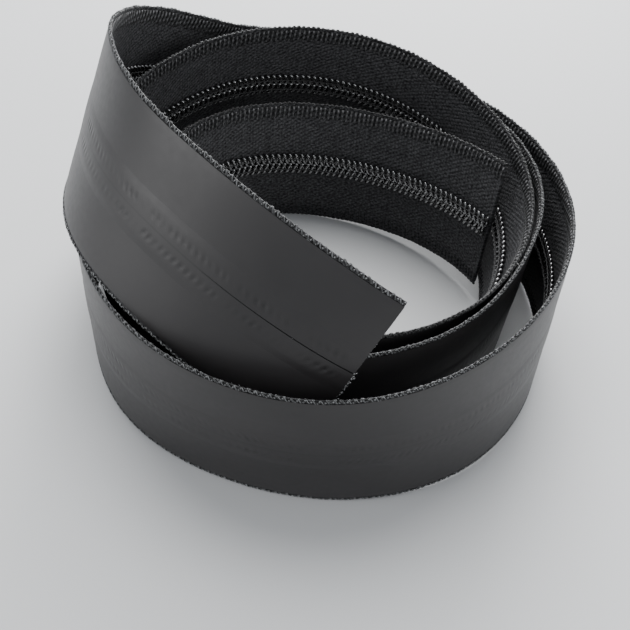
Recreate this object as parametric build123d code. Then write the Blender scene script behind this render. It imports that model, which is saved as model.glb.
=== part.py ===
from build123d import *
import os
import numpy as np

# Zipper chain, #5 reverse coil, water-repellent: a cut length in a loose standing coil.
#
# The chain has no slider and no stops, and is closed along its whole length. It stands on its
# lower edge and winds anticlockwise from a free inner end to a free outer end, which is tucked
# back across the top of the ring. The smooth film is on the outer face, the nylon coils on the
# inner face. Millimetres, +Z up, origin on the floor under the middle of the ring.

os.makedirs("parts", exist_ok=True)

# ---- driving dimensions -------------------------------------------------------------------
CHAIN_WIDTH = 32.0  # both tapes, edge to edge
TAPE_THICKNESS = 0.6
FILM_THICKNESS = 0.15
FILM_MARGIN = 0.5  # bare woven edge left outside the film
COIL_REACH = 2.85  # from the centre line to the back of one coil
COIL_HEIGHT = 1.3
COIL_WIRE = 0.35  # flattened section of the monofilament
CORD_HEIGHT = 0.5
STITCH_WIDTH = 0.5
STITCH_THICKNESS = 0.12
MID_GAP = 0.12  # each half stops this far from the centre line
SKIN_GAP = 0.03  # between parts laid on one another

# ---- how the chain lies -------------------------------------------------------------------
# One line for each 20 to 40 degrees of winding: the angle of winding in degrees, then the
# lower edge's distance from the middle and height above the floor, and the lean of the
# chain's width from the vertical in degrees (outwards is positive).
ROUTE = (
    (24, 41.0, 4.0, 4),
    (60, 40.0, 1.5, 2),
    (95, 41.5, 0.0, 3),
    (130, 43.0, 0.0, 0),
    (165, 36.5, 0.0, 1),
    (200, 31.5, 0.0, 0),
    (235, 30.5, 0.0, -1),
    (270, 32.5, 0.0, -3),
    (300, 31.0, 0.0, 3),
    (335, 31.0, 0.0, 9),
    (370, 38.5, 1.0, 9),
    (405, 50.5, 4.5, 4),
    (440, 60.0, 11.0, -6),
    (475, 61.0, 13.5, -12),
    (505, 55.0, 10.5, -7),
    (535, 46.5, 5.5, 3),
    (570, 38.5, 1.5, 8),
    (605, 35.5, 0.0, 5),
    (640, 36.0, 0.0, 0),
    (680, 36.0, 0.0, 1),
    (720, 41.5, 0.0, 1),
    (760, 56.0, 0.0, 1),
    (800, 63.0, 1.5, 1),
    (840, 65.0, 3.5, -9),
    (875, 55.5, 2.0, -4),
    (905, 48.0, 1.0, 0),
    (935, 45.5, 0.0, 0),
    (970, 43.0, 0.0, 4),
    (1005, 44.0, 0.0, 2),
    (1040, 47.5, 1.0, -5),
    (1075, 50.5, 1.0, -3),
    (1105, 56.0, 0.0, 1),
    (1130, 61.5, 0.0, 2),
    (1155, 67.0, 0.0, 2),
    (1180, 69.5, 2.5, 10),
    (1205, 68.5, 13.0, -13),
    (1230, 60.0, 24.5, -15),
    (1255, 52.0, 31.5, -20),
    (1280, 47.5, 34.0, -28),
    (1305, 43.5, 31.5, -28),
    (1330, 42.5, 26.0, -22),
    (1352, 42.5, 19.0, -8),
)
CENTRE_X = 0.4
CENTRE_Y = -15.0

# ---- the moving end -----------------------------------------------------------------------
FLEX_ANGLE = 90.0  # winding angle at which the free inner end bends
FLEX_GAP = 0.4  # clear space between the two bodies, each side of that angle

SPAN = 75  # degrees of winding in one face of a strip


def route_splines():
    """Radius, height and lean as natural cubic splines of the winding angle."""
    angle, *values = (np.array(column, dtype=float) for column in zip(*ROUTE))
    gap = np.diff(angle)
    matrix = np.eye(len(angle))
    for i in range(1, len(angle) - 1):
        matrix[i, i - 1 : i + 2] = gap[i - 1], 2 * (gap[i - 1] + gap[i]), gap[i]
    bends = []
    for value in values:
        slope = np.diff(value) / gap
        right = np.zeros(len(angle))
        right[1:-1] = 6 * np.diff(slope)
        bends.append(np.linalg.solve(matrix, right))
    return angle, values, bends


ANGLES, VALUES, BENDS = route_splines()


def route_at(turn):
    """Radius, height and lean at one angle of winding."""
    i = int(np.clip(np.searchsorted(ANGLES, turn) - 1, 0, len(ANGLES) - 2))
    h = ANGLES[i + 1] - ANGLES[i]
    a = (ANGLES[i + 1] - turn) / h
    b = 1 - a
    return [
        a * v[i] + b * v[i + 1] + ((a**3 - a) * m[i] + (b**3 - b) * m[i + 1]) * h * h / 6
        for v, m in zip(VALUES, BENDS)
    ]


def lower_edge(turn):
    """A point of the chain's lower edge."""
    radius, height, _ = route_at(turn)
    t = np.radians(turn)
    return np.array([radius * np.cos(t) + CENTRE_X, radius * np.sin(t) + CENTRE_Y, height])


def chain_frame(turn):
    """The lower edge's point, the direction across the width, and the outward direction."""
    lean = np.radians(route_at(turn)[2])
    t = np.radians(turn)
    along = lower_edge(turn + 0.5) - lower_edge(turn - 0.5)
    along /= np.linalg.norm(along)
    across = np.array([np.sin(lean) * np.cos(t), np.sin(lean) * np.sin(t), np.cos(lean)])
    across -= across.dot(along) * along
    across /= np.linalg.norm(across)
    return lower_edge(turn), across, np.cross(along, across)


def section_point(turn, side, point):
    """One corner of a section: distance from the centre line, and outward offset."""
    edge, across, outward = chain_frame(turn)
    distance, offset = point
    return Vector(*(edge + (CHAIN_WIDTH / 2 + side * distance) * across + offset * outward))


def span_edge(side, point, start, end):
    """One corner of the section, followed over a short span of the chain."""
    turns = np.linspace(start, end, 6)
    points = [section_point(t, side, point) for t in turns]
    tangents = [
        (section_point(t + 0.5, side, point) - section_point(t - 0.5, side, point)).normalized()
        for t in (start, end)
    ]
    return Edge.make_spline(points, tangents=tangents)


def strip(side, section, start, end):
    """A solid of constant section that follows the chain from one winding angle to another."""
    ends = np.linspace(start, end, max(1, round((end - start) / SPAN)) + 1)
    walls = []
    for a, b in zip(ends, ends[1:]):
        edges = [span_edge(side, p, a, b) for p in section]
        pairs = zip(edges, edges[1:] + edges[:1])
        walls += [Face.make_surface_from_curves(m, n) for m, n in pairs]
    caps = [
        Face(Wire.make_polygon([section_point(t, side, p) for p in section]))
        for t in (start, end)
    ]
    return Solid(Shell(walls + caps))


# ---- sections of the sub-parts, as (distance from the centre line, outward offset) ---------
def box_section(inner, outer, low, high):
    return [(inner, low), (outer, low), (outer, high), (inner, high)]


def tape_section():
    half = TAPE_THICKNESS / 2
    return box_section(MID_GAP, CHAIN_WIDTH / 2, -half, half)


def film_section():
    low = TAPE_THICKNESS / 2 + SKIN_GAP
    return box_section(MID_GAP / 2, CHAIN_WIDTH / 2 - FILM_MARGIN, low, low + FILM_THICKNESS)


def coil_section():
    """A row of coil loops: head at the centre line, two legs, open at the back."""
    top = -TAPE_THICKNESS / 2 - SKIN_GAP
    bottom = top - COIL_HEIGHT
    head = MID_GAP + 2 * COIL_WIRE
    return [
        (MID_GAP, top),
        (COIL_REACH, top),
        (COIL_REACH, top - COIL_WIRE),
        (head, top - COIL_WIRE),
        (head, bottom + COIL_WIRE),
        (COIL_REACH, bottom + COIL_WIRE),
        (COIL_REACH, bottom),
        (MID_GAP, bottom),
    ]


def filler_cord_section():
    """The cord that lies inside a coil, between its two legs."""
    middle = -TAPE_THICKNESS / 2 - SKIN_GAP - COIL_HEIGHT / 2
    inner = MID_GAP + 2 * COIL_WIRE + SKIN_GAP
    half = CORD_HEIGHT / 2
    return box_section(inner, COIL_REACH, middle - half, middle + half)


def stitching_section():
    """The line of stitches that lies on a coil's loops."""
    high = -TAPE_THICKNESS / 2 - COIL_HEIGHT - 2 * SKIN_GAP
    middle = COIL_REACH * 0.44
    half = STITCH_WIDTH / 2
    return box_section(middle - half, middle + half, high - STITCH_THICKNESS, high)


SECTIONS = {
    "tape": tape_section(),
    "film": film_section(),
    "coil": coil_section(),
    "filler_cord": filler_cord_section(),
    "stitching": stitching_section(),
}
SIDES = {"lower": -1, "upper": 1}


def degrees_for(length, turn):
    """How many degrees of winding a short length of chain takes at one place."""
    return np.degrees(length / route_at(turn)[0])


def main():
    gap = degrees_for(FLEX_GAP, FLEX_ANGLE)
    stretches = {
        "": (FLEX_ANGLE + gap, ROUTE[-1][0]),
        "inner_end_": (ROUTE[0][0], FLEX_ANGLE - gap),
    }
    for prefix, (start, end) in stretches.items():
        for side_name, side in SIDES.items():
            for part_name, section in SECTIONS.items():
                name = f"{prefix}{side_name}_{part_name}"
                export_step(strip(side, section, start, end), f"parts/{name}.step")


main()
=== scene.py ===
"""Looks of the zipper chain: a cut length of water-repellent reverse coil chain.

The chain follows the same route as the CAD model. Each sub-part is built along that route from
its own cross-section: two woven tapes, two films, two rows of coil loops, the filler cords
inside the loops, and the stitches that sew the loops down. Metres, in the frame of the CAD.
"""
import math

import bpy
import numpy as np
from mathutils import Matrix, Vector


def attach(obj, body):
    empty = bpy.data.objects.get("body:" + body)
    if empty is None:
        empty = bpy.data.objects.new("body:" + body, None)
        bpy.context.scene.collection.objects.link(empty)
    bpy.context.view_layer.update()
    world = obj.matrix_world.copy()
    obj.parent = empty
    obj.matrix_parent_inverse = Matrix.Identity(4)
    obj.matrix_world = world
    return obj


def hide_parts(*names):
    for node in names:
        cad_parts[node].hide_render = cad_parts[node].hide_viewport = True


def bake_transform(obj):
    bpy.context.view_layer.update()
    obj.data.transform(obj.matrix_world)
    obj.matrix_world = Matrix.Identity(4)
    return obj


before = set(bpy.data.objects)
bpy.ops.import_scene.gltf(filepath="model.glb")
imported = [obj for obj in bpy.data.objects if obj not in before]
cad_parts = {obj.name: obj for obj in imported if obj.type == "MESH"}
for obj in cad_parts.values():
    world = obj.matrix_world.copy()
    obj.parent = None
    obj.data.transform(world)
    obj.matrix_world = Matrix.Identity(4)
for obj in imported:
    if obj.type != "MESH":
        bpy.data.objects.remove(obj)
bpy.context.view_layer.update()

MM = 0.001

# ---- driving dimensions, as in the CAD model -----------------------------------------------
CHAIN_WIDTH = 32 * MM  # both tapes, edge to edge
TAPE_THICKNESS = 0.6 * MM
FILM_THICKNESS = 0.15 * MM
SKIN_GAP = 0.03 * MM  # between parts laid on one another
MID_GAP = 0.12 * MM  # each tape stops this far from the centre line
COIL_REACH = 2.85 * MM  # from the centre line to the back of one coil
COIL_HEIGHT = 1.3 * MM
FLEX_ANGLE = 90.0  # the hinge of the inner end, as an angle of winding

# ---- dimensions that only the looks have ---------------------------------------------------
JOIN_ANGLE = 128.0  # where the inner-end pieces hand over to the others
BEND_SPREAD = 9.0  # degrees of winding on each side of the hinge, for the points bend_from and bend_to
LOOP_PITCH = 1.5 * MM
LOOP_LEAN = 0.25 * MM  # how far the back of a loop leads its middle, and its head trails it
HEAD_OVERLAP = 0.28 * MM  # how far the head of a loop reaches past the centre line
WIRE = 0.66 * MM  # thickness of the nylon monofilament
WIRE_BREADTH = 1.3  # its breadth against its thickness
CORD_PLACE = 1.75 * MM  # filler cord, from the centre line
CORD_RADIUS = 0.29 * MM
STITCH_LINE = 1.4 * MM  # sewing thread, from the centre line
STITCH_RADIUS = 0.12 * MM
FILM_WIDTH = 15.2 * MM
FILM_SLIT = 0.06 * MM  # the film's edge at the centre line, before film_shape moves it
RIDGE_WIDTH = 3.6 * MM  # half the width of the film's ridge over the coils
RIDGE_HEIGHT = 0.12 * MM
RIDGE_FOOT = 4.6 * MM  # where the shaded sides of the ridge end, from the centre line
SLIT_SHADE = 0.16 * MM  # half the width of the painted dark line of shade at the slit
MARK_PLACE = 1.9 * MM  # row of needle marks, from the centre line
MARK_DEPTH = 0.05 * MM
PARTING_LENGTH = 30 * MM  # the films part over this length at the outer end
PARTING_WIDTH = 0.10 * MM  # and each film stops this far from the centre line there
SELVEDGE_PITCH = 1.15 * MM
SELVEDGE_RADIUS = 0.16 * MM
SELVEDGE_SWINGS = {-1: 0.16 * MM, 1: 0.30 * MM}  # how far the yarn swings across, by side
RIB_PITCH = 1.1 * MM
RIB_START = 12.4 * MM  # from the centre line
RIB_LENGTH = 2.8 * MM
RIB_RADIUS = 0.22 * MM
FIBRE_GAPS = {-1: 2.0 * MM, 1: 0.42 * MM}  # selvedge length for each loose fibre, by side
FIBRE_RADIUS = 0.032 * MM
YARN_GAP = 0.07 * MM  # tape width for each cut yarn end
YARN_RADIUS = 0.05 * MM

# Cut yarn ends: how far from the centre line they go, and how long the longest may be.
INNER_CUT = (14 * MM, 0.25 * MM)
OUTER_CUTS = {-1: (15.5 * MM, 1.1 * MM), 1: (9 * MM, 0.45 * MM)}

# The weave of the tapes, in millimetres.
TWILL_SLANT = 0.62  # how far a twill line goes down for each millimetre along
TWILL_PITCH = 1.05
WEFT_PITCH = 0.72
RIB_SHADE_START = 11.8  # from the centre line: from here on the upper tape is darker, painted shade

# How strongly the weave shows on each tape, and how much darker the tape may get at the ribs.
# Painted shade: the weaker weave makes the lower tape darker too, and the darkening at the ribs
# stands in for the shade between them.
LOWER_WEAVE = 0.22
UPPER_WEAVE = 0.38
RIB_SHADE = 0.14

# Random seeds of the loose fibres; the cut yarn ends use the same plus CUT_SEED.
SEEDS = {"inner_end_lower_": 39, "inner_end_upper_": 41, "lower_": 19, "upper_": 21}
CUT_SEED = 100

# The camera of the photograph, from the fit: millimetres and degrees.
CAMERA_PLACE = (1.1, -139.1, 131.6)
CAMERA_TILT = 45.6
CAMERA_ROLL = 6.06
CAMERA_LENS = 45.5
CAMERA_SENSOR = 36.0

# The route: angle of winding in degrees, then the lower edge's distance from the middle and
# its height in millimetres, and the lean of the width from the vertical in degrees.
CENTRE = (0.4, -15.0)
ROUTE = (
    (24, 41.0, 4.0, 4),
    (60, 40.0, 1.5, 2),
    (95, 41.5, 0.0, 3),
    (130, 43.0, 0.0, 0),
    (165, 36.5, 0.0, 1),
    (200, 31.5, 0.0, 0),
    (235, 30.5, 0.0, -1),
    (270, 32.5, 0.0, -3),
    (300, 31.0, 0.0, 3),
    (335, 31.0, 0.0, 9),
    (370, 38.5, 1.0, 9),
    (405, 50.5, 4.5, 4),
    (440, 60.0, 11.0, -6),
    (475, 61.0, 13.5, -12),
    (505, 55.0, 10.5, -7),
    (535, 46.5, 5.5, 3),
    (570, 38.5, 1.5, 8),
    (605, 35.5, 0.0, 5),
    (640, 36.0, 0.0, 0),
    (680, 36.0, 0.0, 1),
    (720, 41.5, 0.0, 1),
    (760, 56.0, 0.0, 1),
    (800, 63.0, 1.5, 1),
    (840, 65.0, 3.5, -9),
    (875, 55.5, 2.0, -4),
    (905, 48.0, 1.0, 0),
    (935, 45.5, 0.0, 0),
    (970, 43.0, 0.0, 4),
    (1005, 44.0, 0.0, 2),
    (1040, 47.5, 1.0, -5),
    (1075, 50.5, 1.0, -3),
    (1105, 56.0, 0.0, 1),
    (1130, 61.5, 0.0, 2),
    (1155, 67.0, 0.0, 2),
    (1180, 69.5, 2.5, 10),
    (1205, 68.5, 13.0, -13),
    (1230, 60.0, 24.5, -15),
    (1255, 52.0, 31.5, -20),
    (1280, 47.5, 34.0, -28),
    (1305, 43.5, 31.5, -28),
    (1330, 42.5, 26.0, -22),
    (1352, 42.5, 19.0, -8),
)


# ---- the route -----------------------------------------------------------------------------
def spline_bends(x, y):
    """Second derivatives of the natural cubic spline through the points."""
    gap = np.diff(x)
    matrix = np.eye(len(x))
    right = np.zeros(len(x))
    for i in range(1, len(x) - 1):
        matrix[i, i - 1 : i + 2] = gap[i - 1], 2 * (gap[i - 1] + gap[i]), gap[i]
    right[1:-1] = 6 * np.diff(np.diff(y) / gap)
    return np.linalg.solve(matrix, right)


class Route:
    """The lie of the chain: places and directions at any angle of winding."""

    def __init__(self, stations, centre):
        columns = np.array(stations, dtype=float).T
        self.angle = columns[0]
        self.values = columns[1:]
        self.bends = [spline_bends(self.angle, v) for v in self.values]
        self.centre = centre
        self.first = self.angle[0]
        self.last = self.angle[-1]
        self.turns = np.linspace(self.first - 3, self.last + 3, 8001)  # a little past both ends
        middle = self.place(self.turns, 0.0, 0.0)
        steps = np.linalg.norm(np.diff(middle, axis=0), axis=1)
        self.lengths = np.concatenate([[0.0], np.cumsum(steps)])
        self.lengths -= np.interp(self.first, self.turns, self.lengths)
        self.length = self.length_at(self.last)

    def at(self, turn):
        """Radius and height in metres, and lean in radians."""
        i = np.clip(np.searchsorted(self.angle, turn) - 1, 0, len(self.angle) - 2)
        h = self.angle[i + 1] - self.angle[i]
        a = (self.angle[i + 1] - turn) / h
        b = 1 - a
        out = [
            a * v[i] + b * v[i + 1] + ((a**3 - a) * m[i] + (b**3 - b) * m[i + 1]) * h * h / 6
            for v, m in zip(self.values, self.bends)
        ]
        return out[0] * MM, out[1] * MM, np.radians(out[2])

    def edge(self, turn):
        """Points of the lower edge."""
        radius, height, _ = self.at(turn)
        t = np.radians(turn)
        x = self.centre[0] * MM + radius * np.cos(t)
        y = self.centre[1] * MM + radius * np.sin(t)
        return np.stack([x, y, height], axis=-1)

    def directions(self, turn):
        """Unit vectors along the chain, across its width, and outwards from its face."""
        along = self.edge(turn + 0.5) - self.edge(turn - 0.5)
        along /= np.linalg.norm(along, axis=-1, keepdims=True)
        lean = self.at(turn)[2]
        t = np.radians(turn)
        across = np.stack(
            [np.sin(lean) * np.cos(t), np.sin(lean) * np.sin(t), np.cos(lean)], axis=-1
        )
        across -= (across * along).sum(-1, keepdims=True) * along
        across /= np.linalg.norm(across, axis=-1, keepdims=True)
        return along, across, np.cross(along, across)

    def place(self, turn, sideways, outwards):
        """Points at distances up from the centre line and out from the middle of the tape."""
        _, across, out = self.directions(turn)
        rise = np.asarray(CHAIN_WIDTH / 2 + sideways)
        off = np.asarray(outwards)
        return self.edge(turn) + rise[..., None] * across + off[..., None] * out

    def turn_at(self, length):
        """The angle of winding at a distance along the chain from its inner end."""
        return np.interp(length, self.lengths, self.turns)

    def length_at(self, turn):
        """The distance along the chain from its inner end at an angle of winding."""
        return float(np.interp(turn, self.turns, self.lengths))


route = Route(ROUTE, CENTRE)


# ---- mesh building -------------------------------------------------------------------------
def mesh_object(name, points, faces, uv, material):
    """An object from arrays of points and faces, with one pair of map values for each point."""
    mesh = bpy.data.meshes.new(name)
    mesh.from_pydata(points.tolist(), [], faces)
    layer = mesh.uv_layers.new(name="chain")
    corners = np.empty(len(mesh.loops), dtype=np.int32)
    mesh.loops.foreach_get("vertex_index", corners)
    layer.data.foreach_set("uv", uv[corners].astype(np.float32).ravel())
    mesh.polygons.foreach_set("use_smooth", [True] * len(mesh.polygons))
    mesh.materials.append(material)
    obj = bpy.data.objects.new(name, mesh)
    bpy.context.scene.collection.objects.link(obj)
    return obj


def wall_faces(rows, columns, first=0):
    """Quads and two end caps over rows of points, each row a closed loop of columns."""
    i = np.arange(rows - 1)[:, None] * columns
    j = np.arange(columns)[None]
    k = (j + 1) % columns
    quads = np.stack([i + j, i + k, i + columns + k, i + columns + j], axis=-1)
    faces = (quads.reshape(-1, 4) + first).tolist()
    last = first + (rows - 1) * columns
    faces.append(list(range(first + columns - 1, first - 1, -1)))
    faces.append(list(range(last, last + columns)))
    return faces


def strip(name, material, stretch, step, side, section, shape=None):
    """A closed sheet with a constant section along the chain.

    stretch holds two distances along the chain. section lists the distance from the centre
    line and the outward offset of each corner. shape, if given, takes arrays of distance
    along, distance from the centre line and offset, and returns the last two, changed.
    """
    rows = max(3, int(round((stretch[1] - stretch[0]) / step)) + 1)
    section = np.array(section)
    columns = len(section)
    s = np.repeat(np.linspace(stretch[0], stretch[1], rows), columns)
    c = np.tile(section[:, 0], rows)
    b = np.tile(section[:, 1], rows)
    if shape is not None:
        c, b = shape(s, c, b)
    points = route.place(route.turn_at(s), side * c, b)
    faces = wall_faces(rows, columns)
    if side < 0:
        faces = [face[::-1] for face in faces]
    uv = np.stack([s / MM, side * c / MM], axis=1)
    obj = mesh_object(name, points, faces, uv, material)
    obj.data.set_sharp_from_angle(angle=math.radians(35))
    return obj


def tube_points(path, guide, radius, sides, breadth=1.0):
    """Rings of points round a path. guide gives a direction across it at each point.

    breadth is the tube's width against its thickness along the guide.
    """
    along = np.gradient(path, axis=0)
    along /= np.linalg.norm(along, axis=1, keepdims=True) + 1e-12
    first = guide - (guide * along).sum(1, keepdims=True) * along
    first /= np.linalg.norm(first, axis=1, keepdims=True) + 1e-12
    second = np.cross(along, first)
    turn = np.linspace(0, 2 * math.pi, sides, endpoint=False)[None, :, None]
    reach = np.broadcast_to(radius, len(path))[:, None, None]
    rings = path[:, None] + reach * (
        np.cos(turn) * first[:, None] + breadth * np.sin(turn) * second[:, None]
    )
    return rings.reshape(-1, 3)


def thread(name, material, s, c, b, radius, sides=5, guide=None, breadth=1.0):
    """One long tube through points given in the chain's own measures."""
    turn = route.turn_at(s)
    path = route.place(turn, c, b)
    if guide is None:
        guide = route.directions(turn)[2]
    points = tube_points(path, guide, radius, sides, breadth)
    uv = np.repeat(np.stack([s / MM, c / MM], axis=1), sides, axis=0)
    uv[:, 1] += np.tile(np.linspace(0, 1, sides, endpoint=False), len(s))
    return mesh_object(name, points, wall_faces(len(s), sides), uv, material)


def many_threads(name, material, s, c, b, radius, sides=4):
    """Many short tubes in one piece: each row of s, c and b is one of them."""
    count, length = s.shape
    turn = route.turn_at(s.ravel())
    paths = route.place(turn, c.ravel(), b.ravel()).reshape(count, length, 3)
    out = route.directions(turn)[2].reshape(count, length, 3)
    points = []
    faces = []
    for k in range(count):
        faces += wall_faces(length, sides, k * length * sides)
        points.append(tube_points(paths[k], out[k], radius, sides))
    uv = np.repeat(np.stack([s.ravel() / MM, c.ravel() / MM], axis=1), sides, axis=0)
    return mesh_object(name, np.concatenate(points), faces, uv, material)


# ---- sub-parts -----------------------------------------------------------------------------
# Each maker takes a name, a stretch (two distances along the chain) and a side: 1 for the upper
# half of the chain, -1 for the lower one. c is a distance from the centre line towards the
# selvedge, b a distance outwards from the middle of the tape.
HALF = CHAIN_WIDTH / 2
TAPE_HALF = TAPE_THICKNESS / 2
COIL_MIDDLE = -TAPE_HALF - SKIN_GAP - COIL_HEIGHT / 2


def tape(name, stretch, side):
    """One woven tape, thinner towards its selvedge."""
    across = np.array([MID_GAP / MM, 1.5, 3.0, 5.5, 8.0, 10.5, 12.2, 13.6, 15.0, 15.7]) * MM
    half = np.interp(across, [12 * MM, HALF], [TAPE_HALF, TAPE_HALF - 0.12 * MM])
    inner = [(c, -h) for c, h in zip(across, half)]
    outer = [(c, h) for c, h in zip(across[::-1], half[::-1])]
    edge = [(HALF - 0.1 * MM, -0.08 * MM), (HALF - 0.1 * MM, 0.08 * MM)]
    return strip(name, materials["tape"], stretch, 1.0 * MM, side, inner + edge + outer)


def film_shape(s, c, b):
    """The film rises over the coil, is pricked beside it, sinks to its edge and parts at the end.

    Where it doesn't part, the two films meet on the centre line.
    """
    near = np.exp(-((c / RIDGE_WIDTH) ** 4))
    phase = 2 * math.pi * (s / LOOP_PITCH + 0.25 * c / MM)
    patchy = 0.65 + 0.35 * np.sin(s / (6.5 * MM)) * np.sin(s / (17 * MM))
    row = np.exp(-(((c - MARK_PLACE) / (0.7 * MM)) ** 2))
    prick = row * (0.5 - 0.5 * np.cos(phase)) ** 2
    broad = np.sin(s / (23 * MM)) * np.sin(c / (5 * MM) + s / (41 * MM))
    rise = RIDGE_HEIGHT * near - MARK_DEPTH * prick * patchy + 0.02 * MM * broad
    rise -= 0.13 * MM * np.clip((c - 12 * MM) / (4 * MM), 0, 1)
    parting = np.clip((s - route.length + PARTING_LENGTH) / PARTING_LENGTH, 0, 1)
    open_by = PARTING_WIDTH * parting**0.6
    return np.where(c < 0.1 * MM, open_by, c), b + rise


def film(name, stretch, side):
    """The smooth film on the outer face of one tape, up to the slit on the centre line."""
    low = TAPE_HALF + SKIN_GAP
    high = low + FILM_THICKNESS
    across = np.array([0.5, 1.1, 1.5, 1.9, 2.3, 2.8, 3.6, 5.2, 8.0, 11.0, 13.8, 14.9]) * MM
    inner = [(c, low) for c in (FILM_SLIT, 3.0 * MM, 9.0 * MM, FILM_WIDTH)]
    outer = [(FILM_WIDTH, high - 0.04 * MM)] + [(c, high) for c in across[::-1]]
    section = inner + outer + [(FILM_SLIT, high)]
    return strip(name, materials["film"], stretch, LOOP_PITCH / 4, side, section, film_shape)


def first_loop(stretch, side):
    """Where the first loop of a row begins: the lower row starts half a pitch further along."""
    return stretch[0] + (0.5 if side < 0 else 0.0) * LOOP_PITCH


def coil(name, stretch, side):
    """One row of nylon loops, wound round its filler cord and meshed with the other row.

    A loop is an oval, squarer than an ellipse by the powers below 1, and its wire is a little
    thicker at the head.
    """
    start = first_loop(stretch, side)
    loops = int((stretch[1] - start) / LOOP_PITCH)
    steps = 14
    turn = np.arange(loops * steps + 1) / steps * 2 * math.pi
    x = np.cos(turn)
    y = np.sin(turn)
    wide = (COIL_REACH + HEAD_OVERLAP) / 2 - WIRE / 2
    tall = COIL_HEIGHT / 2 - WIRE / 2
    c = COIL_REACH - WIRE / 2 - wide + wide * np.sign(x) * np.abs(x) ** 0.75
    b = COIL_MIDDLE + tall * np.sign(y) * np.abs(y) ** 0.7
    s = start + LOOP_PITCH * turn / (2 * math.pi) + LOOP_LEAN * x
    _, across, out = route.directions(route.turn_at(s))
    guide = side * x[:, None] * across + y[:, None] * out
    radius = WIRE / 2 * (1 + 0.08 * np.clip(-x, 0, 1) ** 4)
    return thread(name, materials["coil"], s, side * c, b, radius, 6, guide, WIRE_BREADTH)


def filler_cord(name, stretch, side):
    """The twisted cord inside one row of loops."""
    s = np.arange(stretch[0], stretch[1], 0.6 * MM)
    c = side * (CORD_PLACE + 0.04 * MM * np.sin(s / (0.9 * MM)))
    b = COIL_MIDDLE + 0.04 * MM * np.cos(s / (0.9 * MM))
    return thread(name, materials["cord"], s, c, b, CORD_RADIUS, 6)


def stitching(name, stretch, side):
    """The sewing thread: it lies over the loops and sinks a little between two of them."""
    start = first_loop(stretch, side)
    s = np.arange(start, stretch[1], LOOP_PITCH / 8)
    phase = 2 * math.pi * (s - start) / LOOP_PITCH
    top = COIL_MIDDLE - COIL_HEIGHT / 2
    b = top + 0.03 * MM + 0.10 * MM * np.sin(phase)  # its middle is just under the loops' faces
    c = side * (STITCH_LINE + 0.04 * MM * np.cos(phase))
    return thread(name, materials["thread"], s, c, b, STITCH_RADIUS, 5)


def selvedge(name, stretch, side):
    """The corded woven edge: a yarn that winds along it and comes back wound the other way."""
    s = np.arange(stretch[0], stretch[1], SELVEDGE_PITCH / 8)
    phase = 2 * math.pi * s / SELVEDGE_PITCH
    uneven = 0.27 * np.sin(s / (2.1 * MM)) + 0.27 * np.sin(s / (0.73 * MM))
    swing = SELVEDGE_SWINGS[side]
    pieces = []
    for sign in (1, -1):
        c = side * (HALF - 0.04 * MM - swing + swing * np.cos(phase * sign) + swing * uneven)
        b = 0.13 * MM + 0.20 * MM * np.sin(phase * sign)
        pieces.append((s, c, b))
    first, second = pieces
    s = np.concatenate([first[0], second[0][::-1]])
    c = np.concatenate([first[1], second[1][::-1]])
    b = np.concatenate([first[2], second[2][::-1]])
    return thread(name, materials["edge"], s, c, b, SELVEDGE_RADIUS, 5)


def edge_ribs(name, stretch, side):
    """Short raised yarns across the inner face, in a row beside the selvedge."""
    along = np.arange(stretch[0] + 0.5 * MM, stretch[1] - 0.5 * MM, RIB_PITCH)
    reach = np.array([0.0, 0.25, 0.75, 1.0])
    s = along[:, None] - reach[None] * 0.3 * MM
    c = np.broadcast_to(side * (RIB_START + RIB_LENGTH * reach), s.shape)
    rise = np.array([0.10, -0.08, -0.06, 0.10]) * MM  # the ends sink into the tape
    b = np.broadcast_to(rise - TAPE_HALF, s.shape)
    # Painted shade: the ribs of the lower tape take the dark tape colour, not the lighter rib
    # yarn.
    return many_threads(name, materials["rib" if side > 0 else "tape"], s, c, b, RIB_RADIUS)


def fuzz(name, stretch, side, seed):
    """Loose fibres that stand out of the selvedge."""
    random = np.random.default_rng(seed)
    count = int((stretch[1] - stretch[0]) / FIBRE_GAPS[side])
    start = random.uniform(stretch[0] + 0.5 * MM, stretch[1] - 0.5 * MM, count)
    length = random.uniform(0.15, 0.55, count) * MM
    lean = random.uniform(-1.2, 1.2, count)
    tilt = random.uniform(-1.0, 1.0, count)
    reach = np.array([0.0, 0.5, 1.0])
    s = start[:, None] + reach[None] * (length * np.sin(lean))[:, None]
    root = random.uniform(0.1, 0.6, count) * MM
    c = HALF - root[:, None] + reach[None] * (length * np.cos(lean) * np.cos(tilt))[:, None]
    b = reach[None] ** 1.5 * (length * np.sin(tilt))[:, None]
    b += random.uniform(-0.1, 0.35, count)[:, None] * MM
    return many_threads(name, materials["edge"], s, side * c, b, FIBRE_RADIUS, 3)


def frayed_end(name, material, place, direction, side, until, length, seed):
    """Cut yarn ends at one end of a tape, up to a distance from the centre line.

    place is where the tape ends, and direction is 1 or -1, the way out along the chain.
    """
    random = np.random.default_rng(seed)
    count = int(until / YARN_GAP)
    reach = np.array([0.0, 0.5, 1.0])
    long = random.uniform(0.25, 1.0, count) ** 2 * length
    bend = random.normal(0, 0.35, count)
    s = place + direction * (reach[None] * long[:, None] - 0.1 * MM)
    c = random.uniform(0.4 * MM, until, count)[:, None] + reach[None] ** 2 * (long * bend)[:, None]
    b = random.uniform(-0.3, 0.3, count)[:, None] * MM - reach[None] * long[:, None] * 0.3
    return many_threads(name, material, s, side * c, b, YARN_RADIUS, 3)


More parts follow.
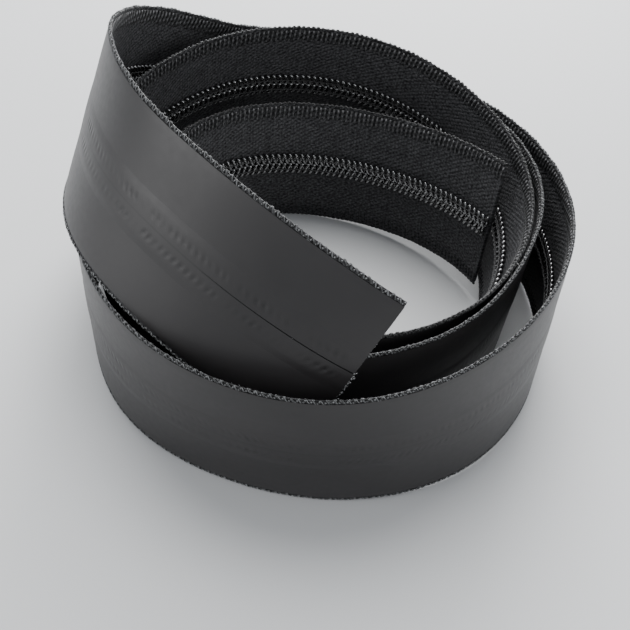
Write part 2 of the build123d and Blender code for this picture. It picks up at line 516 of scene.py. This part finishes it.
# ---- materials -----------------------------------------------------------------------------
class Nodes:
    """A material with short calls for adding nodes to it."""

    def __init__(self, name, roughness, **constants):
        self.material = bpy.data.materials.new(name)
        self.material.use_nodes = True
        self.tree = self.material.node_tree
        self.shader = self.tree.nodes["Principled BSDF"]
        self.shader.inputs["Roughness"].default_value = roughness
        for socket, value in constants.items():
            self.shader.inputs[socket.replace("_", " ")].default_value = value
        chain = self.tree.nodes.new("ShaderNodeUVMap")
        chain.uv_map = "chain"
        split = self.tree.nodes.new("ShaderNodeSeparateXYZ")
        self.tree.links.new(chain.outputs[0], split.inputs[0])
        self.chain = chain.outputs[0]
        self.along = split.outputs[0]
        self.across = split.outputs[1]

    def put(self, value, socket):
        """Links an output to a socket, or gives the socket a plain value."""
        if isinstance(value, bpy.types.NodeSocket):
            self.tree.links.new(value, socket)
        else:
            socket.default_value = value

    def math(self, operation, a, b=0.0, third=0.5):
        """One step of arithmetic. third is what MULTIPLY_ADD adds, or how soft SMOOTH_MIN is."""
        node = self.tree.nodes.new("ShaderNodeMath")
        node.operation = operation
        self.put(a, node.inputs[0])
        self.put(b, node.inputs[1])
        self.put(third, node.inputs[2])
        return node.outputs[0]

    def wave(self, value, period, shift=0.0):
        """A sine from 0 to 1 of a measure in millimetres."""
        turns = self.math("MULTIPLY", value, 2 * math.pi / period)
        sine = self.math("SINE", self.math("ADD", turns, shift))
        return self.math("MULTIPLY_ADD", sine, 0.5, 0.5)

    def noise(self, scale, detail=3.0, stretch=(1, 1, 1)):
        """Noise over the chain's own measures, in features for each millimetre."""
        mapping = self.tree.nodes.new("ShaderNodeMapping")
        mapping.inputs["Scale"].default_value = stretch
        self.tree.links.new(self.chain, mapping.inputs["Vector"])
        node = self.tree.nodes.new("ShaderNodeTexNoise")
        node.inputs["Scale"].default_value = scale
        node.inputs["Detail"].default_value = detail
        self.tree.links.new(mapping.outputs[0], node.inputs["Vector"])
        return node.outputs[0]

    def between(self, factor, low, high, socket, start=0.0, end=1.0):
        """A value or colour that goes from low to high with the factor, into a shader socket."""
        ramp = self.tree.nodes.new("ShaderNodeValToRGB")
        first, last = ramp.color_ramp.elements
        first.position = start
        last.position = end
        first.color = (*low, 1) if hasattr(low, "__len__") else (low, low, low, 1)
        last.color = (*high, 1) if hasattr(high, "__len__") else (high, high, high, 1)
        self.put(factor, ramp.inputs[0])
        self.tree.links.new(ramp.outputs[0], self.shader.inputs[socket])

    def bump(self, height, depth, strength=1.0):
        """A relief of that depth in metres, on top of any relief already there."""
        node = self.tree.nodes.new("ShaderNodeBump")
        node.inputs["Distance"].default_value = depth
        node.inputs["Strength"].default_value = strength
        self.put(height, node.inputs["Height"])
        normal = self.shader.inputs["Normal"]
        if normal.is_linked:
            self.tree.links.new(normal.links[0].from_socket, node.inputs["Normal"])
        self.tree.links.new(node.outputs[0], normal)


def tape_material():
    """Black woven polyester: a fine uneven twill, plainest on the lower tape.

    Painted shade: the weaker weave of the lower tape also makes it darker, and the upper tape is
    darker at the ribs beside its selvedge, where shade falls between them.
    """
    m = Nodes("tape", 0.6, Specular_IOR_Level=0.2)
    drift = m.math("MULTIPLY", m.noise(1.0, 3.0), 1.3)
    fall = m.math("MULTIPLY", m.along, TWILL_SLANT)
    slant = m.math("ADD", m.math("ADD", m.across, fall), drift)
    twill = m.wave(slant, TWILL_PITCH)
    rows = m.math("ADD", m.along, m.math("ADD", m.math("MULTIPLY", twill, 0.3), drift))
    yarns = m.wave(rows, WEFT_PITCH)
    grain = m.noise(1.4, 2.0, (1, 1.5, 1))
    # Painted shade: the lower tape gets a weaker weave, which also darkens it.
    upper = m.math("GREATER_THAN", m.across, 0.0)
    marked = m.math("ADD", LOWER_WEAVE, m.math("MULTIPLY", upper, UPPER_WEAVE - LOWER_WEAVE))
    patch = m.math("MULTIPLY", m.noise(0.35, 2.0), marked)
    weave = m.math("MULTIPLY", m.math("ADD", yarns, 0.7), m.math("ADD", twill, 0.15))
    weave = m.math("ADD", m.math("MULTIPLY", weave, patch), grain)
    # Painted shade between the ribs beside the selvedge of the upper tape.
    past = m.math("SUBTRACT", m.across, RIB_SHADE_START)
    ribbed = m.math("MAXIMUM", m.math("MULTIPLY", past, 0.12), 0.0)
    shade = m.math("SUBTRACT", weave, m.math("MINIMUM", ribbed, RIB_SHADE))
    m.between(shade, (0.003, 0.003, 0.0034), (0.09, 0.09, 0.094), "Base Color", 0.38, 1.08)
    m.bump(weave, 0.00025, 1.0)
    return m.material


def film_material():
    """Smooth matte polyurethane film: patches of needle marks, a dark slit, hardly any grain.

    Painted shade: the needle-mark dents are painted darker, and the slit is a painted dark line.
    """
    m = Nodes("film", 0.4, Specular_IOR_Level=0.48)
    off = m.math("ABSOLUTE", m.across)
    beside = m.math("ABSOLUTE", m.math("SUBTRACT", off, MARK_PLACE / MM))
    row = m.math("SUBTRACT", 1.0, beside)
    phase = m.math("ADD", m.along, m.math("MULTIPLY", off, 0.25))
    oval = m.wave(phase, LOOP_PITCH / MM, -math.pi / 2)
    patch = m.math("MAXIMUM", m.math("SUBTRACT", m.noise(0.16, 1.0, (1, 0.1, 1)), 0.42), 0.0)
    # Painted shade: the needle-mark dents are painted darker as well.
    prick = m.math("MULTIPLY", m.math("MULTIPLY", m.math("MAXIMUM", row, 0.0), oval), patch)
    # Painted shade: a dark line along the slit, where the two films meet.
    narrow = m.math("LESS_THAN", off, SLIT_SHADE / MM)
    slit = m.math("MULTIPLY", narrow, m.noise(0.03, 1.0))
    dark = m.math("ADD", m.math("MULTIPLY", prick, 2.5), slit)
    broad = m.math("SUBTRACT", m.noise(0.05, 3.0), dark)
    m.between(broad, (0.0044, 0.004, 0.0043), (0.0138, 0.0125, 0.0130), "Base Color", 0.0, 0.7)
    m.between(m.noise(0.8, 3.0), 0.43, 0.47, "Roughness", 0.35, 0.65)
    m.bump(m.noise(3.0, 4.0), 0.00001, 0.3)
    m.bump(m.noise(0.2, 1.0), 0.00006, 0.15)
    m.bump(m.math("MULTIPLY", prick, -7.0), 0.00006, 1.0)
    inside = m.math("SUBTRACT", RIDGE_FOOT / MM, off)
    shoulder = m.math("SMOOTH_MIN", inside, 1.2)  # sides of the ridge
    m.bump(m.math("MAXIMUM", shoulder, 0.0), 0.00007, 1.0)
    return m.material


def coil_material():
    """Glossy black nylon monofilament with fine draw lines."""
    m = Nodes("coil", 0.22, IOR=1.75, Coat_Weight=1.0, Coat_Roughness=0.12, Coat_IOR=2.0)
    m.between(m.noise(1.5, 2.0), (0.010, 0.010, 0.0103), (0.024, 0.024, 0.0247), "Base Color")
    m.bump(m.noise(8.0, 2.0, (0.3, 3, 1)), 0.00001, 0.3)
    return m.material


def yarn_material(name, low, high, roughness, depth, twist, painted_shade_end=None):
    """Twisted yarn, light where its plies stand out.

    The last argument, if given, is a distance along the chain in millimetres: painted shade halves
    the yarn's tone at the inner end of the chain, and the tone grows to its full value at that
    distance.
    """
    m = Nodes(name, roughness, Specular_IOR_Level=0.3, Sheen_Weight=0.05)
    plies = m.wave(m.math("ADD", m.along, m.math("MULTIPLY", m.across, twist)), twist)
    shade = m.math("ADD", m.math("MULTIPLY", plies, 0.5), m.math("MULTIPLY", m.noise(2.2), 0.6))
    # Painted shade: the yarn is darker on the inner turns of the chain, which get less light.
    if painted_shade_end:
        far = m.math("MINIMUM", m.math("MULTIPLY_ADD", m.along, 0.5 / painted_shade_end, 0.5), 1.0)
        shade = m.math("MULTIPLY", shade, far)
    m.between(shade, low, high, "Base Color", 0.45, 0.95)
    m.bump(plies, depth, 0.8)
    return m.material


materials = {
    "tape": tape_material(),
    "film": film_material(),
    "coil": coil_material(),
    "cord": yarn_material("cord", (0.005,) * 3, (0.02,) * 3, 0.8, 0.00006, 0.5),
    "thread": yarn_material("thread", (0.02,) * 3, (0.07, 0.07, 0.073), 0.5, 0.00004, 0.4),
    "rib": yarn_material("rib", (0.04,) * 3, (0.15, 0.15, 0.155), 0.6, 0.00006, 0.5),
    # The selvedge yarn, also used for the loose fibres, gets painted shade over its first 500 mm.
    "edge": yarn_material("edge", (0.012,) * 3, (0.19, 0.195, 0.20), 0.75, 0.00004, 0.45, 500.0),
    "fray": yarn_material("fray", (0.05,) * 3, (0.40, 0.41, 0.42), 0.75, 0.00004, 0.45),
}

# ---- the pieces ----------------------------------------------------------------------------
join = route.length_at(JOIN_ANGLE)
stretches = {"inner_end_": (0.0, join), "": (join, route.length)}
bend_from = route.place(np.array([FLEX_ANGLE + BEND_SPREAD]), 0.0, 0.0)[0]
bend_to = route.place(np.array([FLEX_ANGLE - BEND_SPREAD]), 0.0, 0.0)[0]
MAKERS = {
    "tape": tape,
    "film": film,
    "coil": coil,
    "filler_cord": filler_cord,
    "stitching": stitching,
}


def settle(piece, prefix, node=None):
    """Puts a piece on its body, or on the inner end bakes its place into its mesh."""
    if node:
        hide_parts(node)
    if prefix:
        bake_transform(piece)
    else:
        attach(piece, "root")


def build(prefix, stretch):
    """All the pieces of one stretch of the chain."""
    for side_name, side in (("lower", -1), ("upper", 1)):
        start = f"{prefix}{side_name}_"
        for kind, maker in MAKERS.items():
            piece = maker(f"{start}{kind}_look", stretch, side)
            settle(piece, prefix, start + kind)
        settle(selvedge(f"{start}selvedge", stretch, side), prefix)
        settle(edge_ribs(f"{start}edge_ribs", stretch, side), prefix)
        seed = SEEDS[start]
        settle(fuzz(f"{start}fuzz", stretch, side, seed), prefix)
        if prefix:
            # Painted shade: the cut yarn ends at the inner end take the dark cord colour.
            cut = (materials["cord"], stretch[0], -1, side, *INNER_CUT, seed + CUT_SEED)
        else:
            cut = (materials["fray"], stretch[1], 1, side, *OUTER_CUTS[side], seed + CUT_SEED)
        settle(frayed_end(f"{start}frayed_end", *cut), prefix)


for prefix, stretch in stretches.items():
    build(prefix, stretch)


# ---- floor, camera and lights --------------------------------------------------------------
def floor():
    """A plain pale floor."""
    bpy.ops.mesh.primitive_plane_add(size=6.0, location=(0, 0, -0.0004))
    plane = bpy.context.object
    plane.name = "floor"
    material = bpy.data.materials.new("floor")
    material.use_nodes = True
    shader = material.node_tree.nodes["Principled BSDF"]
    shader.inputs["Base Color"].default_value = (0.42, 0.425, 0.43, 1)
    shader.inputs["Roughness"].default_value = 0.85
    plane.data.materials.append(material)


def camera():
    """At the photograph's angle: from in front, looking down by about 46 degrees."""
    tilt = math.radians(CAMERA_TILT)
    roll = math.radians(CAMERA_ROLL)
    back = Vector((0, -math.cos(tilt), math.sin(tilt)))
    right = Vector((1, 0, 0))
    up = back.cross(right)
    x = math.cos(roll) * right + math.sin(roll) * up
    y = -math.sin(roll) * right + math.cos(roll) * up
    data = bpy.data.cameras.new("camera")
    data.sensor_width = CAMERA_SENSOR
    data.lens = CAMERA_LENS
    data.clip_start = 0.005
    obj = bpy.data.objects.new("camera", data)
    turn = Matrix((x, y, back)).transposed().to_4x4()
    obj.matrix_world = Matrix.Translation(Vector(CAMERA_PLACE) * MM) @ turn
    bpy.context.scene.collection.objects.link(obj)
    bpy.context.scene.camera = obj


def area_light(name, place, size, power):
    """A white disk light of a power in watts, aimed at a point 20 mm above the floor."""
    data = bpy.data.lights.new(name, "AREA")
    data.shape = "DISK"
    data.size = size
    data.energy = power
    obj = bpy.data.objects.new(name, data)
    obj.location = place
    aim = Vector((0, 0, 0.02)) - Vector(place)
    obj.rotation_euler = aim.to_track_quat("-Z", "Y").to_euler()
    bpy.context.scene.collection.objects.link(obj)


def lights():
    """A pale surround, a large soft light above, one low behind and a weaker one at each side."""
    world = bpy.context.scene.world or bpy.data.worlds.new("world")
    bpy.context.scene.world = world
    world.use_nodes = True
    surround = world.node_tree.nodes["Background"]
    surround.inputs[0].default_value = (0.93, 0.96, 1.0, 1)
    surround.inputs[1].default_value = 0.9
    area_light("top", (-0.05, 0.30, 0.58), 0.60, 9.5)
    area_light("left", (-0.60, -0.24, 0.28), 0.40, 1.9)
    area_light("right", (0.55, -0.35, 0.25), 0.30, 1.2)
    area_light("back", (0.08, 0.62, 0.26), 0.40, 9.0)


floor()
camera()
lights()
